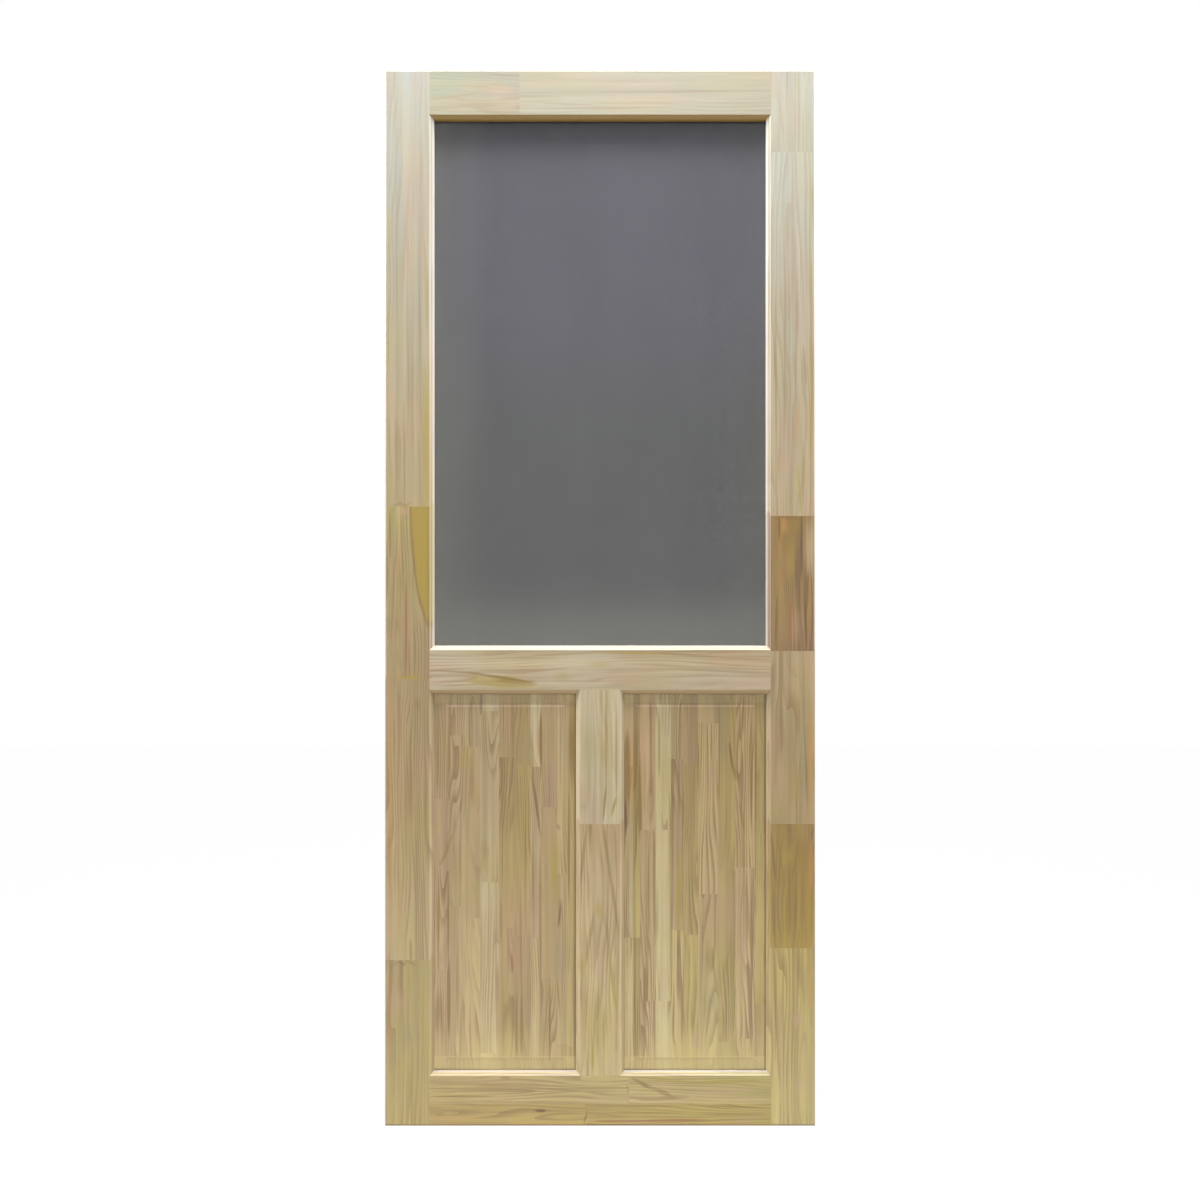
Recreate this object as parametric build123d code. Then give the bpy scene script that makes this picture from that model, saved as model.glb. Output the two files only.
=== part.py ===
from build123d import *
import os

# Wooden screen door leaf: two stiles, three rails and a mullion of finger-jointed pine, coped and
# stuck round an insect-screen opening above and two raised and fielded panels below.
# Units are millimetres. +Z is up, the front face looks towards -Y, and x runs from the hinge edge
# (0) to the lock edge. The origin is on the hinge edge, at mid height and mid thickness.

# Overall leaf
leaf_height = 2032.0
leaf_width = 828.0
leaf_thickness = 28.6

# Frame members, each measured over its moulded edges
stile_width = 93.5
top_rail_width = 93.5
mid_rail_width = 92.5
bottom_rail_width = 104.7
mullion_width = 92.5
mid_rail_above_floor = 831.4
eased_edge = 2.2

# Sticking: the moulding run on the inner edges, a chamfer, a shallow quirk and a flat ovolo
sticking_width = 8.0
sticking_depth = 6.6
chamfer_width = 2.4
chamfer_depth = 1.9
quirk_depth = 0.3
ovolo_radius = 14.0

# Groove for the panels and rebate for the screen
groove_width = 11.0
groove_depth = 10.0
rebate_width = 9.5
screen_setback = 17.0

# Raised and fielded panels, alike on both faces
field_thickness = 16.6
margin_width = 16.0
margin_rise = 1.2
cove_width = 9.4
cove_radius = 29.0
panel_edge_gap = 0.8

# Screen cloth and the stops that hold it
screen_thickness = 0.5
screen_edge_gap = 0.6
stop_round = 4.0

# Finger joints: tapered fingers across the thickness, so each face shows a straight line
finger_count = 4
finger_length = 10.0
finger_tip = 1.0

# Lengths of the glued blocks, from the bottom or the hinge edge; the block left over is the longest
left_stile_lengths_up = [319.0, 541.0, 332.0]
right_stile_lengths_up = [342.0, 239.0, 333.0, 260.0]
right_stile_top_block = 158.0
mullion_lower_top = 581.0
top_rail_joint = 259.0
bottom_rail_glue_line = 42.7
bottom_rail_lower_joint = 389.0
bottom_rail_upper_joint = 469.0

# Cutters run this far past the wood they cut
overrun = 5.0

front_y = -leaf_thickness / 2
back_y = leaf_thickness / 2
bottom_z = -leaf_height / 2
top_z = leaf_height / 2
mid_rail_bottom_z = bottom_z + mid_rail_above_floor
mid_rail_top_z = mid_rail_bottom_z + mid_rail_width
mid_rail_centre_z = (mid_rail_bottom_z + mid_rail_top_z) / 2
bottom_rail_top_z = bottom_z + bottom_rail_width
top_rail_bottom_z = top_z - top_rail_width
mullion_left_x = (leaf_width - mullion_width) / 2
mullion_right_x = (leaf_width + mullion_width) / 2
right_stile_x = leaf_width - stile_width
housing = max(groove_depth, rebate_width)


def block(low, high):
    """A box between two opposite corners."""
    size = Vector(*high) - Vector(*low)
    middle = (Vector(*low) + Vector(*high)) / 2
    return Pos(middle.X, middle.Y, middle.Z) * Box(size.X, size.Y, size.Z)


def sticking_waste():
    """End view of what the moulding cutter takes off the front: x towards the opening, y into it."""
    quirk = (chamfer_width, chamfer_depth + quirk_depth)
    foot = (sticking_width, sticking_depth)
    clear = sticking_width + overrun
    with BuildSketch() as waste:
        with BuildLine():
            Polyline((0, -overrun), (0, 0), (chamfer_width, chamfer_depth), quirk)
            RadiusArc(quirk, foot, -ovolo_radius)
            Polyline(foot, (clear, sticking_depth), (clear, -overrun), (0, -overrun))
        make_face()
    return waste.sketch


def strip_waste(width, depth_from, depth_to):
    """End view of a square cut that reaches this width back from the inner edge."""
    with BuildSketch() as waste:
        with Locations((sticking_width - width, depth_from)):
            Rectangle(width + overrun, depth_to - depth_from, align=(Align.MIN, Align.MIN))
    return waste.sketch


def panel_edge_waste():
    """Sticking on both faces, with the panel groove between."""
    groove_front = (leaf_thickness - groove_width) / 2
    back = Pos(0, leaf_thickness) * mirror(sticking_waste(), Plane.XZ)
    groove = strip_waste(groove_depth, groove_front, groove_front + groove_width)
    return [sticking_waste(), back, groove]


def screen_edge_waste():
    """Sticking on the front, with the screen's rebate behind."""
    rebate = strip_waste(rebate_width, screen_setback, leaf_thickness + overrun)
    return [sticking_waste(), rebate]


def run_cutter(wastes, face_line, towards_opening, length):
    """Run end views along an edge, from the middle of the line where the sticking meets the face."""
    way = Vector(*towards_opening)
    end_plane = Plane(origin=face_line, x_dir=way, z_dir=way.cross(Vector(0, 1, 0)))
    return [extrude(end_plane * waste, amount=length / 2, both=True) for waste in wastes]


def leaf_envelope():
    """The whole leaf as a plain slab, with the outer edges of both faces eased."""
    slab = block((0, front_y, bottom_z), (leaf_width, back_y, top_z))
    faces = slab.faces().sort_by(Axis.Y)
    return chamfer(faces[0].edges() + faces[-1].edges(), eased_edge)


def left_stile():
    """The whole left stile: grooved below the middle rail's centre, rebated above it."""
    line_x = stile_width - sticking_width
    lower = mid_rail_centre_z - bottom_z
    upper = top_z - mid_rail_centre_z
    stile = block((0, front_y, bottom_z), (stile_width, back_y, top_z))
    low_middle = (line_x, front_y, bottom_z + lower / 2 - overrun / 2)
    high_middle = (line_x, front_y, top_z - upper / 2 + overrun / 2)
    stile -= run_cutter(panel_edge_waste(), low_middle, (1, 0, 0), lower + overrun)
    stile -= run_cutter(screen_edge_waste(), high_middle, (1, 0, 0), upper + overrun)
    return stile


def rail(low_z, high_z, lower_edge, upper_edge, stiles):
    """A rail housed in both stiles, with its ends coped over their sticking."""
    start = stile_width - housing
    end = leaf_width - start
    middle = (start + end) / 2
    length = end - start + 2 * overrun
    bar = block((start, front_y, low_z), (end, back_y, high_z))
    if lower_edge:
        bar -= run_cutter(lower_edge, (middle, front_y, low_z + sticking_width), (0, 0, -1), length)
    if upper_edge:
        bar -= run_cutter(upper_edge, (middle, front_y, high_z - sticking_width), (0, 0, 1), length)
    return bar - stiles


def mullion(rails):
    """The upright between the panels, coped and housed in the middle and bottom rails."""
    low_z = bottom_rail_top_z - groove_depth
    high_z = mid_rail_bottom_z + groove_depth
    middle = (low_z + high_z) / 2
    length = high_z - low_z + 2 * overrun
    left_line = (mullion_left_x + sticking_width, front_y, middle)
    right_line = (mullion_right_x - sticking_width, front_y, middle)
    bar = block((mullion_left_x, front_y, low_z), (mullion_right_x, back_y, high_z))
    bar -= run_cutter(panel_edge_waste(), left_line, (-1, 0, 0), length)
    bar -= run_cutter(panel_edge_waste(), right_line, (1, 0, 0), length)
    return bar - rails


def panel_section(width):
    """End view of a raised and fielded panel: tongue, sloping margin, cove and field."""
    tongue_reach = groove_depth - panel_edge_gap
    edge = width / 2
    sight = edge - tongue_reach
    cove_foot = sight - margin_width
    field_edge = cove_foot - cove_width
    tongue_y = groove_width / 2
    margin_y = tongue_y + margin_rise
    field_y = field_thickness / 2
    with BuildSketch() as section:
        with BuildLine():
            Line((edge, 0), (edge, tongue_y))
            Line((edge, tongue_y), (sight, tongue_y))
            Line((sight, tongue_y), (cove_foot, margin_y))
            RadiusArc((cove_foot, margin_y), (field_edge, field_y), cove_radius)
            Line((field_edge, field_y), (0, field_y))
            mirror(about=Plane.YZ)
            mirror(about=Plane.XZ)
        make_face()
    return section.sketch


def raised_panel(low_x, high_x):
    """A panel floating in the grooves: where its two runs cross, the mouldings meet in mitres."""
    reach = groove_depth - panel_edge_gap
    width = high_x - low_x + 2 * reach
    height = mid_rail_bottom_z - bottom_rail_top_z + 2 * reach
    middle = ((low_x + high_x) / 2, 0, (mid_rail_bottom_z + bottom_rail_top_z) / 2)
    upright_plane = Plane(origin=middle, x_dir=(1, 0, 0), z_dir=(0, 0, 1))
    level_plane = Plane(origin=middle, x_dir=(0, 0, 1), z_dir=(1, 0, 0))
    upright_run = extrude(upright_plane * panel_section(width), amount=height / 2, both=True)
    level_run = extrude(level_plane * panel_section(height), amount=width / 2, both=True)
    return upright_run & level_run


def screen_cloth():
    """The insect screen as a thin sheet, laid on the shoulder of the rebate."""
    reach = rebate_width - screen_edge_gap
    low = (stile_width - reach, front_y + screen_setback, mid_rail_top_z - reach)
    high_y = front_y + screen_setback + screen_thickness
    high = (right_stile_x + reach, high_y, top_rail_bottom_z + reach)
    return block(low, high)


def stop_section():
    """End view of a screen stop: x from the rebate's wall to the sight edge, y towards the back."""
    depth = leaf_thickness - screen_setback - screen_thickness
    with BuildSketch() as section:
        Rectangle(rebate_width, depth, align=(Align.MIN, Align.MIN))
        inner_back = section.vertices().sort_by(Axis.Y)[-2:].sort_by(Axis.X)[-1]
        fillet(inner_back, stop_round)
    return section.sketch


def screen_stop(corner_a, corner_b, towards_opening):
    """One mitred stop between two outer corners of the rebate."""
    seat_y = front_y + screen_setback + screen_thickness
    start = Vector(corner_a[0], seat_y, corner_a[1])
    end = Vector(corner_b[0], seat_y, corner_b[1])
    way = Vector(*towards_opening)
    along = (end - start).normalized()
    end_plane = Plane(origin=(start + end) / 2, x_dir=way, z_dir=way.cross(Vector(0, 1, 0)))
    bar = extrude(end_plane * stop_section(), amount=(end - start).length / 2, both=True)
    lift = Vector(0, -overrun, 0)
    inner_start = start + (along + way) * rebate_width
    inner_end = end + (way - along) * rebate_width
    outline = Polyline(start + lift, end + lift, inner_end + lift, inner_start + lift, close=True)
    mitres = extrude(make_face(outline), amount=leaf_thickness, dir=(0, 1, 0))
    return bar & mitres


def screen_stops():
    """Four stops, keyed by the side of the opening they lie on."""
    left = stile_width - rebate_width
    right = leaf_width - left
    low = mid_rail_top_z - rebate_width
    high = top_rail_bottom_z + rebate_width
    return {
        "stop_bottom": screen_stop((left, low), (right, low), (0, 0, 1)),
        "stop_top": screen_stop((left, high), (right, high), (0, 0, -1)),
        "stop_left": screen_stop((left, low), (left, high), (1, 0, 0)),
        "stop_right": screen_stop((right, low), (right, high), (-1, 0, 0)),
    }


def finger_line(level):
    """Points of a finger joint from the front to the back, as (depth, run) pairs."""
    pitch = leaf_thickness / finger_count
    half_tip = finger_tip / 2
    points = [(front_y - overrun, level)]
    for number in range(finger_count):
        root = front_y + number * pitch
        crest = root + pitch / 2
        points.append((root + half_tip, level))
        points.append((crest - half_tip, level + finger_length))
        points.append((crest + half_tip, level + finger_length))
        points.append((root + pitch - half_tip, level))
    points.append((back_y + overrun, level))
    return points


def plain_line(level):
    """The straight end of a member, from the front to the back."""
    return [(front_y - overrun, level), (back_y + overrun, level)]


def cut_blocks(member, joints, along):
    """Split a member at its finger joints, along "x" or "z", into blocks in rising order."""
    box = member.bounding_box()
    low = box.min.Z if along == "z" else box.min.X
    high = box.max.Z if along == "z" else box.max.X
    lines = [plain_line(low - overrun)] + [finger_line(at) for at in joints] + [plain_line(high + overrun)]
    blocks = []
    for lower, upper in zip(lines, lines[1:]):
        outline = [*lower, *reversed(upper)]
        if along == "z":
            corners = [(box.min.X - overrun, y, z) for y, z in outline]
            way, reach = (1, 0, 0), box.size.X + 2 * overrun
        else:
            corners = [(x, y, box.min.Z - overrun) for y, x in outline]
            way, reach = (0, 0, 1), box.size.Z + 2 * overrun
        span = extrude(make_face(Polyline(*corners, close=True)), amount=reach, dir=way)
        blocks.append(member & span)
    return blocks


def running_total(start, lengths):
    """Joint levels reached by laying the lengths end to end."""
    levels = []
    for length in lengths:
        start += length
        levels.append(start)
    return levels


def numbered(name, blocks):
    """Name blocks from the bottom up."""
    return {f"{name}_block_{number}": piece for number, piece in enumerate(blocks, start=1)}


def make_stile_blocks(left, right):
    """Both stiles as their finger-jointed blocks."""
    left_joints = running_total(bottom_z, left_stile_lengths_up)
    right_joints = running_total(bottom_z, right_stile_lengths_up)
    right_joints.append(top_z - right_stile_top_block)
    return {
        **numbered("left_stile", cut_blocks(left, left_joints, "z")),
        **numbered("right_stile", cut_blocks(right, right_joints, "z")),
    }


def make_bottom_rail_blocks(bar):
    """The bottom rail: a narrow board glued under a wider one, each finger-jointed once."""
    glue_z = bottom_z + bottom_rail_glue_line
    under = block((-overrun, front_y - overrun, bottom_z - overrun), (leaf_width, back_y + overrun, glue_z))
    lower = cut_blocks(bar & under, [bottom_rail_lower_joint], "x")
    upper = cut_blocks(bar - under, [bottom_rail_upper_joint], "x")
    return {
        "bottom_rail_lower_left": lower[0],
        "bottom_rail_lower_right": lower[1],
        "bottom_rail_upper_left": upper[0],
        "bottom_rail_upper_right": upper[1],
    }


def make_nodes():
    """Every piece of the leaf, by name."""
    envelope = leaf_envelope()
    left = left_stile() & envelope
    right = mirror(left, Plane.YZ.offset(leaf_width / 2))
    stiles = [left, right]
    bottom = rail(bottom_z, bottom_rail_top_z, None, panel_edge_waste(), stiles) & envelope
    middle = rail(mid_rail_bottom_z, mid_rail_top_z, panel_edge_waste(), screen_edge_waste(), stiles)
    top = rail(top_rail_bottom_z, top_z, screen_edge_waste(), None, stiles) & envelope
    upright = mullion([bottom, middle])
    top_blocks = cut_blocks(top, [top_rail_joint], "x")
    mullion_blocks = cut_blocks(upright, [bottom_z + mullion_lower_top], "z")
    return {
        **make_stile_blocks(left, right),
        "top_rail_left": top_blocks[0],
        "top_rail_right": top_blocks[1],
        "mid_rail": middle,
        **make_bottom_rail_blocks(bottom),
        "mullion_lower": mullion_blocks[0],
        "mullion_upper": mullion_blocks[1],
        "panel_left": raised_panel(stile_width, mullion_left_x),
        "panel_right": raised_panel(mullion_right_x, right_stile_x),
        "screen_mesh": screen_cloth(),
        **screen_stops(),
    }


os.makedirs("parts", exist_ok=True)
nodes = make_nodes()
for name, shape in nodes.items():
    solids = shape.solids()
    whole = solids[0] if len(solids) == 1 else Compound(children=list(solids))
    whole.label = name
    export_step(whole, f"parts/{name}.step")
    print(f"{name}: {len(solids)} solid, {sum(solid.volume for solid in solids) / 1000:.1f} cm3")
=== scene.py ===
# %% [markdown]
# # A pine screen door leaf, dressed in Blender
#
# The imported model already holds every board, panel and stop at its real size. This lesson gives them
# the finish of planed pine, weaves the screen out of real yarns, drives the small nails that hold the
# screen's stops, and lights the leaf the way a catalogue picture does.

# %% Load the frame
import math
import bpy
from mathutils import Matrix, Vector


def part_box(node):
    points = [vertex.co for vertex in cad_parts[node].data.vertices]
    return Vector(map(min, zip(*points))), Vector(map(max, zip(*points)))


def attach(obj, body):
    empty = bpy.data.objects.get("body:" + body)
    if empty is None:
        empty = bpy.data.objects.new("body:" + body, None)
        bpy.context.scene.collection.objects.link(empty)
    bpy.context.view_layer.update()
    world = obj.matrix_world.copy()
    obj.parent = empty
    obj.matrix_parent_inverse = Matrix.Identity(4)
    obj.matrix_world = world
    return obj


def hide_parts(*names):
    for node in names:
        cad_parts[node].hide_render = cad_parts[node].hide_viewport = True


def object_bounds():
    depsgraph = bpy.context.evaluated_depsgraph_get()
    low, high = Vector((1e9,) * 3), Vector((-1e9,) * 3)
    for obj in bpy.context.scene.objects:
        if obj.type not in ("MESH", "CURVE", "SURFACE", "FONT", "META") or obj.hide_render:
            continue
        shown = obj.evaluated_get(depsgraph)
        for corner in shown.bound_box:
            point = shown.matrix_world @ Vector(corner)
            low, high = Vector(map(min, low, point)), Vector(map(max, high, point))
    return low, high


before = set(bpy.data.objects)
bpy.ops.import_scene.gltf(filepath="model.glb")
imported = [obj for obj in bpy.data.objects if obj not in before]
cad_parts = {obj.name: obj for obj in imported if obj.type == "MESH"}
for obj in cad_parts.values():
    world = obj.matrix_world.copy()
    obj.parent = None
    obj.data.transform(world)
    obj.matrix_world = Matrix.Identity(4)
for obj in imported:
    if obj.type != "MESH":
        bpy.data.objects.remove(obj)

MM = 0.001
lowest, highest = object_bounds()
middle = (lowest + highest) / 2
print("leaf, mm:", [round(side / MM, 1) for side in highest - lowest])

# %% [markdown]
# ## Helpers
#
# Colours are picked on a screen, so they are written as the hex codes of sRGB. Blender works with
# linear light, and one function turns the first into the second. Another adds a shader node, sets its
# properties, and fills its inputs either with a value or with a wire from another node. With those two, a
# finish reads from top to bottom like a recipe.

# %% Colour and node helpers
def colour(code):
    """An sRGB hex code as linear red, green, blue and alpha."""
    shares = [int(code[place:place + 2], 16) / 255 for place in (0, 2, 4)]
    linear = [v / 12.92 if v <= 0.04045 else ((v + 0.055) / 1.055) ** 2.4 for v in shares]
    return (*linear, 1.0)


def add_node(tree, kind, inputs=None, **settings):
    """A new shader node with its settings, its inputs filled with values or wired to other nodes."""
    node = tree.nodes.new("ShaderNode" + kind)
    for name, value in settings.items():
        setattr(node, name, value)
    for name, value in (inputs or {}).items():
        if isinstance(value, bpy.types.NodeSocket):
            tree.links.new(value, node.inputs[name])
        else:
            node.inputs[name].default_value = value
    return node


def new_material(name):
    """A new material, its node tree and its shader."""
    material = bpy.data.materials.new(name)
    material.use_nodes = True
    tree = material.node_tree
    return material, tree, tree.nodes["Principled BSDF"]


print("pale pine in linear light:", [round(v, 3) for v in colour("B9A57F")[:3]])

# %% [markdown]
# ## The camera
#
# The picture is taken square-on: both long edges are parallel, and neither the top nor the underside of the
# leaf shows. So the camera looks level along +Y at mid height, from about 2.7 m, and the frame covers 2.31 m
# at the leaf's face. The lens follows from those two numbers and the sensor's width.

# %% Camera
camera_distance = 2.7
frame_width = 2.3095
# the middle of the frame is a few millimetres below the leaf's
aim_x, aim_z = 0.4138, -0.0038
camera_data = bpy.data.cameras.new("camera")
camera_data.sensor_width = 36
camera_data.lens = camera_data.sensor_width * camera_distance / frame_width
camera = bpy.data.objects.new("camera", camera_data)
camera.location = (aim_x, lowest.y - camera_distance, aim_z)
camera.rotation_euler = (math.radians(90), 0, 0)
bpy.context.scene.collection.objects.link(camera)
bpy.context.scene.camera = camera
bpy.context.scene.view_settings.view_transform = "Standard"
print("lens, mm:", round(camera_data.lens, 2))

# %% [markdown]
# ## The light
#
# The picture tells where its lamps are. The top of the leaf is paler and a little milky, which is a large
# lamp above the camera, mirrored in the smooth wood. The upward edges shine and the screen is dark just under
# the top rail, which is a lamp nearly overhead. Both side edges of the opening are bright, which takes a lamp
# on each side, almost in the plane of the leaf. One more stands behind the leaf, so that its back can be
# looked at too. All are softboxes, so that no shadow has a hard edge.

# %% Lamps
def softbox(name, place, aim, width, height, watts):
    """A rectangular lamp that looks from its place at a point."""
    data = bpy.data.lights.new(name, "AREA")
    data.shape = "RECTANGLE"
    data.size = width
    data.size_y = height
    data.energy = watts
    lamp = bpy.data.objects.new(name, data)
    lamp.location = place
    lamp.rotation_euler = (Vector(aim) - Vector(place)).to_track_quat("-Z", "Y").to_euler()
    bpy.context.scene.collection.objects.link(lamp)


softbox("softbox_front", (middle.x, -3.0, 2.25), (middle.x, 0, 0.5), 2.2, 0.5, 35)
softbox("softbox_overhead", (middle.x, -0.9, 4.5), (middle.x, -0.05, -0.1), 2.4, 0.8, 330)
for name, side, watts in (("softbox_left", -1, 67), ("softbox_right", 1, 56)):
    softbox(name, (middle.x + 1.91 * side, -0.3, 1.5), (middle.x + 0.32 * side, 0, 0.3), 0.5, 0.8, watts)
softbox("softbox_back", (middle.x, 3.0, 1.4), (middle.x, 0, 0), 2.2, 1.6, 72)

# %% [markdown]
# ## The white ground
#
# The background is pure white, but a world that bright would flatten the wood. Light Path tells the two
# apart: rays from the camera, and rays mirrored or let through by a surface, see white at strength 1, and
# all other rays see a dim world that only softens the shadows. The floor does the same by mixing white
# light with a matt surface, which keeps a trace of the leaf's shadow.

# %% World
ambient_strength = 0.06
world = bpy.data.worlds.new("white_world")
world.use_nodes = True
bpy.context.scene.world = world
tree = world.node_tree
rays = add_node(tree, "LightPath")
seen = rays.outputs["Is Camera Ray"]
for kind in ("Is Glossy Ray", "Is Transmission Ray"):
    seen = add_node(tree, "Math", {0: seen, 1: rays.outputs[kind]}, operation="MAXIMUM").outputs[0]
strength = add_node(tree, "MapRange", {"Value": seen, "To Min": ambient_strength})
background = tree.nodes["Background"]
background.inputs["Color"].default_value = colour("FFFFFF")
tree.links.new(strength.outputs[0], background.inputs["Strength"])
print("ambient strength:", ambient_strength)

# %% Floor
white_share = 0.985
bpy.ops.object.select_all(action="DESELECT")
bpy.ops.mesh.primitive_plane_add(size=14, location=(middle.x, 0, lowest.z))
floor = bpy.context.object
floor.name = "studio_floor"
bpy.ops.object.transform_apply(location=True)
material, tree, shader = new_material("matt white paper")
shader.inputs["Base Color"].default_value = colour("C8C8C8")
shader.inputs["Roughness"].default_value = 0.9
rays = add_node(tree, "LightPath")
seen = add_node(tree, "Math", {0: rays.outputs["Is Camera Ray"], 1: white_share},
                operation="MULTIPLY")
white = add_node(tree, "Emission")
surface = add_node(tree, "MixShader",
                   {0: seen.outputs[0], 1: shader.outputs[0], 2: white.outputs[0]})
tree.links.new(surface.outputs[0], tree.nodes["Material Output"].inputs["Surface"])
floor.data.materials.append(material)
print("floor level, mm:", round(lowest.z / MM))

# %% [markdown]
# ## Planed pine
#
# Bare radiata pine, planed and sanded: pale, a little pink where it is young and olive where there is sap,
# with growth rings 6 to 12 mm wide. It could be a picture of wood stretched over each board, but then the
# edges and the mouldings would not belong to the faces. Here the grain is solid instead. Each board is cut
# out of an imagined log: rings run round a heart line that lies beside or behind the board, so a board cut
# far from the heart shows straight lines and one cut near it shows arches, and every edge and moulding cuts
# the same rings. A heart that leans away from the face gives arches that point up.
#
# On top of the rings come four things that pine shows: broad streaks of sap and of pink wood, fibres, a
# darker end grain where the cut runs across them, and single marks such as knots. Smooth planed wood
# mirrors a little, so its roughness is about 0.35 and its pores are only a fine bump.

# %% Sizes of the grain, in millimetres
patch_width, patch_length = 55, 190
streak_width, streak_length = 15, 700
line_width, line_length = 6, 420
wave_width, wave_length = 60, 560
wave_reach = 120
# fibres are well under a millimetre wide, too fine to show: these are drawn about three times as wide
fibre_width, fibre_length = 2.6, 110
grain_relief = 0.12
# the share of a ring's width between which its late wood comes in
ring_span = (0.3, 0.95)
# noise keeps mostly within these values
noise_span = (0.3, 0.7)


def repeats(*sizes):
    """How many of each size, in millimetres, fit in a metre."""
    return tuple(1000 / size for size in sizes)


print("fibres in a metre:", round(repeats(fibre_width)[0]))

# %% Log coordinates
def log_coordinates(tree, board, position):
    """The position inside the log: its third axis is the heart, the first two go out from it."""
    low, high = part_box(board["node"])
    centre = (low + high) / 2
    across, depth = [size * MM for size in board["heart"]]
    level = board["along"] == "x"
    heart = centre + (Vector((0, depth, -across)) if level else Vector((across, depth, 0)))
    turn = (math.radians(-board["lean"]), math.radians(90 if level else 0), 0)
    place = add_node(tree, "Mapping",
                     {"Vector": position, "Location": heart, "Rotation": turn}, vector_type="TEXTURE")
    return place.outputs[0]


def stretched_noise(tree, place, width, length, seed, detail):
    """Noise that is drawn out along the log, width by length in millimetres."""
    scaled = add_node(tree, "VectorMath", {0: place, 1: repeats(width, width, length)},
                      operation="MULTIPLY")
    return add_node(tree, "TexNoise", {"Vector": scaled.outputs[0], "W": seed, "Scale": 1.0,
                    "Detail": detail}, noise_dimensions="4D")


# %% Growth rings
def growth_rings(tree, place, board):
    """How far each point is into the dark late wood of its ring, from 0 to 1."""
    wave = stretched_noise(tree, place, wave_width, wave_length, board["seed"], 2.0)
    reach = wave_reach * MM
    wavy = add_node(tree, "VectorMath",
                    {0: wave.outputs["Color"], 1: (reach, reach, 0), 2: place}, operation="MULTIPLY_ADD")
    # the wave texture's saw repeats every 2 pi / 20 of its scaled distance
    rings = add_node(tree, "TexWave",
                     {"Vector": wavy.outputs[0], "Scale": math.pi / 10 / (board["ring"] * MM)},
                     wave_type="RINGS", rings_direction="Z", wave_profile="SAW")
    late = add_node(tree, "MapRange",
                    {"Value": rings.outputs["Fac"], "From Min": ring_span[0], "From Max": ring_span[1]},
                    interpolation_type="SMOOTHSTEP")
    return late.outputs[0]


# %% [markdown]
# ## Stains and shades
#
# A finish is built up like a drawing: a ground colour, then one thing after another over it. Two steps come
# back all the time. A stain lays another colour over the colour so far, more of it where some value, such as
# a noise, is high. A shade makes the colour so far darker or paler as a value runs from low to high.

# %% Stains and shades
def stained(tree, base, code, value, span, top, ease="SMOOTHSTEP"):
    """The colour so far, with another over it from nothing at the span's low end to the top share."""
    amount = add_node(tree, "MapRange",
                      {"Value": value, "From Min": span[0], "From Max": span[1], "To Max": top},
                      interpolation_type=ease)
    return add_node(tree, "Mix", {0: amount.outputs[0], 6: base, 7: colour(code)},
                    data_type="RGBA").outputs[2]


def shaded(tree, base, value, span, darkest, palest):
    """The colour so far, times a brightness that runs from darkest to palest over the value's span."""
    brightness = add_node(tree, "MapRange",
                          {"Value": value, "From Min": span[0], "From Max": span[1],
                           "To Min": darkest, "To Max": palest})
    return add_node(tree, "HueSaturation",
                    {"Color": base, "Value": brightness.outputs[0]}).outputs[0]


print("noise is read between", *noise_span)

# %% [markdown]
# ## Marks in the wood
#
# Knots, sap streaks and thin resin lines sit at known places, so they can't be left to noise. Each is an
# ellipse that goes through the board: its middle and half sizes in millimetres, how far it falls to the
# right in degrees, its colour, and how strongly it shows. The streak noise bends its outline a little, so
# that it looks grown and not drawn.
#
# A few lines are straight instead. Where a panel goes into its mouldings there is a dark joint on both
# sides of it, darkened further as painted shade of the recess, and along that joint the panel's margin is
# made paler as painted light. The leaf's outer edges are greyed as painted shade, and the edge near the floor
# is darkened as painted shade.

# %% Marks
bend_across, bend_along = 6, 34
# a straight line is an ellipse so long that it stays straight along the whole leaf
line_middle, line_reach = 400, 3000
inks = {"resin": "5A3404", "brown": "785A16", "heart": "76590E", "sap": "9A8428", "green": "94905A",
        "rose": "B28C70", "orange": "B27C3A", "red": "8E5218", "pale": "C8B890", "grey": "887A5C",
        "painted_light": "CDB872", "plain": "AE966C"}


def mark(x, z, half_width, half_height, ink, strength, fall=0, edge=0.45, straight=False):
    """One mark; its edge is the share of its size over which it fades in, and a straight one isn't bent."""
    return {"at": (x * MM, 0, z * MM), "half": (half_width * MM, 1, half_height * MM), "code": inks[ink],
            "strength": strength, "fall": math.radians(fall), "edge": edge, "straight": straight}


def patch(x, z, half_width, half_height, ink, strength, fall=0):
    """A mark that fades out all the way from its middle."""
    return mark(x, z, half_width, half_height, ink, strength, fall, edge=0.9)


def upright(x, half_width, ink, strength, edge=0.45):
    """A straight line along a whole board."""
    return mark(x, 0, half_width, line_reach, ink, strength, edge=edge, straight=True)


def level_line(z, half_height, ink, strength, edge=0.45):
    """The same, lying level."""
    return mark(line_middle, z, line_reach, half_height, ink, strength, edge=edge, straight=True)


def add_mark(tree, base, bent, spot):
    """One mark's colour over the colour so far."""
    shape = add_node(tree, "Mapping",
                     {"Vector": bent, "Location": spot["at"], "Rotation": (0, spot["fall"], 0),
                      "Scale": spot["half"]}, vector_type="TEXTURE")
    blob = add_node(tree, "TexGradient", {"Vector": shape.outputs[0]}, gradient_type="SPHERICAL")
    return stained(tree, base, spot["code"], blob.outputs["Fac"], (0, spot["edge"]), spot["strength"])


print("inks:", len(inks))

# %% Joints, margins and rims
# the joints show a little to the left of the boards' inner edges
joint_shift = 1.8
# half the width of the painted light on a panel's margin
margin = 10


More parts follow.
